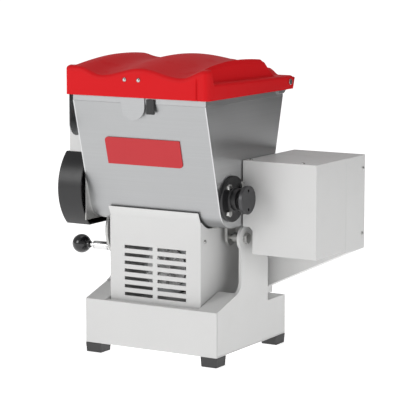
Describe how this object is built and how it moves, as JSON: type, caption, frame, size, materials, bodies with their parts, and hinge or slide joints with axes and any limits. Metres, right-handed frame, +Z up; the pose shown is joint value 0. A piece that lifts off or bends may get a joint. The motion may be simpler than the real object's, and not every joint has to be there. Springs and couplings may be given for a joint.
{
  "type": "tilting tub kneading mixer",
  "caption": "Benchtop kneading mixer: a lidded stainless tub with twin paddle shafts tilts between two lugs on a sheet-metal base, driven by a motor, belt and worm gearbox.",
  "frame": {"origin": "middle of the whole object's box in X and Y, on the surface that the rubber feet stand on", "axes": "+Z up, +X to the right along the paddle shafts, +Y to the back; the lid's front faces -Y"},
  "size_m": [0.462, 0.3104, 0.4903],
  "materials": {
    "white_paint": "off-white powder coat, fine texture",
    "rubber": "moulded rubber, matt",
    "zinc": "zinc-plated steel",
    "polished_steel": "polished steel",
    "dark_steel": "blackened steel",
    "black_plastic": "black moulded plastic, satin",
    "stainless": "brushed stainless sheet",
    "red_badge": "red enamelled plaque",
    "motor_iron": "painted motor body",
    "alloy": "die-cast alloy",
    "fan_plastic": "grey moulded fan",
    "belt_rubber": "rubber V-belt",
    "bronze": "bronze",
    "gear_steel": "hobbed steel",
    "red_plastic": "glossy red moulded lid"
  },
  "bodies": {
    "base": {"base_pan": "white_paint", "side_frame_left": "white_paint", "side_frame_right": "white_paint", "rubber_feet": "rubber", "pivot_bolts": "zinc", "pivot_spacers": "zinc", "pivot_clips": "zinc", "plunger_sleeve": "polished_steel", "plunger_nut": "zinc", "plunger_spring": "zinc"},
    "plunger": {"plunger_pin": "polished_steel", "ball_knob": "black_plastic"},
    "paddle_front": {"paddle_shaft_front": "stainless", "gear_front": "gear_steel", "end_cap": "dark_steel"},
    "paddle_rear": {"paddle_shaft_rear": "stainless", "gear_rear": "gear_steel", "worm_wheel": "bronze"},
    "worm": {"worm_shaft": "polished_steel", "driven_pulley": "alloy"},
    "rotor": {"rotor_shaft": "polished_steel", "fan": "fan_plastic", "motor_pulley": "alloy"},
    "rocker": {"switch_rocker": "black_plastic"},
    "lid": {"lid": "red_plastic", "lid_tabs": "stainless", "tab_screws": "zinc", "hinge_screws": "zinc"},
    "head": {"cradle": "zinc", "lock_disc": "zinc", "tub_wrap": "stainless", "tub_side_left": "stainless", "tub_side_right": "stainless", "tub_rim": "stainless", "plaque": "red_badge", "sensor_block": "black_plastic", "control_box": "white_paint", "front_housing": "white_paint", "housing_floor": "white_paint", "housing_side_left": "white_paint", "housing_side_right": "white_paint", "housing_screws": "zinc", "motor_bracket": "zinc", "motor_body": "motor_iron", "motor_shields": "alloy", "drive_belt": "belt_rubber", "gearbox_case": "alloy", "gearbox_cover": "white_paint", "cover_screws": "zinc", "belt_case_front": "white_paint", "belt_case_rear": "white_paint", "belt_case_back": "white_paint", "case_screws": "zinc", "cable_gland": "black_plastic", "switch_body": "black_plastic", "bearing_flange": "black_plastic", "flange_bolts": "zinc", "gear_plate": "zinc", "gear_cover": "black_plastic", "gear_cover_screws": "zinc"}
  },
  "joints": [
    {"name": "head_tilt", "type": "hinge", "parent": "base", "child": "head", "pos_m": [-0.028, -0.02275, 0.197], "axis": [1, 0, 0], "range_deg": [0, 75]},
    {"name": "plunger_slide", "type": "slide", "parent": "base", "child": "plunger", "axis": [-1, 0, 0], "range_m": [0, 0.01], "stiffness_N_per_m": 900, "springref_m": -0.006, "deforming": ["plunger_spring"]},
    {"name": "lid_hinge", "type": "hinge", "parent": "head", "child": "lid", "pos_m": [-0.028, 0.11625, 0.4405], "axis": [-1, 0, 0], "range_deg": [0, 100]},
    {"name": "worm_spin", "type": "hinge", "parent": "head", "child": "worm", "pos_m": [0.157, 0.02425, 0.2222], "axis": [0, 1, 0], "continuous": true},
    {"name": "paddle_rear_spin", "type": "hinge", "parent": "head", "child": "paddle_rear", "pos_m": [-0.028, 0.02425, 0.267], "axis": [1, 0, 0], "continuous": true},
    {"name": "paddle_front_spin", "type": "hinge", "parent": "head", "child": "paddle_front", "pos_m": [-0.028, -0.06775, 0.267], "axis": [1, 0, 0], "continuous": true},
    {"name": "rotor_spin", "type": "hinge", "parent": "head", "child": "rotor", "pos_m": [-0.028, -0.01475, 0.144], "axis": [0, 1, 0], "continuous": true},
    {"name": "rocker_tilt", "type": "hinge", "parent": "head", "child": "rocker", "pos_m": [-0.19, -0.04875, 0.359], "axis": [0, 1, 0], "range_deg": [0, 12]}
  ],
  "couplings": [
    {"joint": "paddle_rear_spin", "follows": "worm_spin", "ratio": 0.066667},
    {"joint": "paddle_front_spin", "follows": "worm_spin", "ratio": -0.066667},
    {"joint": "rotor_spin", "follows": "worm_spin", "ratio": 2}
  ]
}
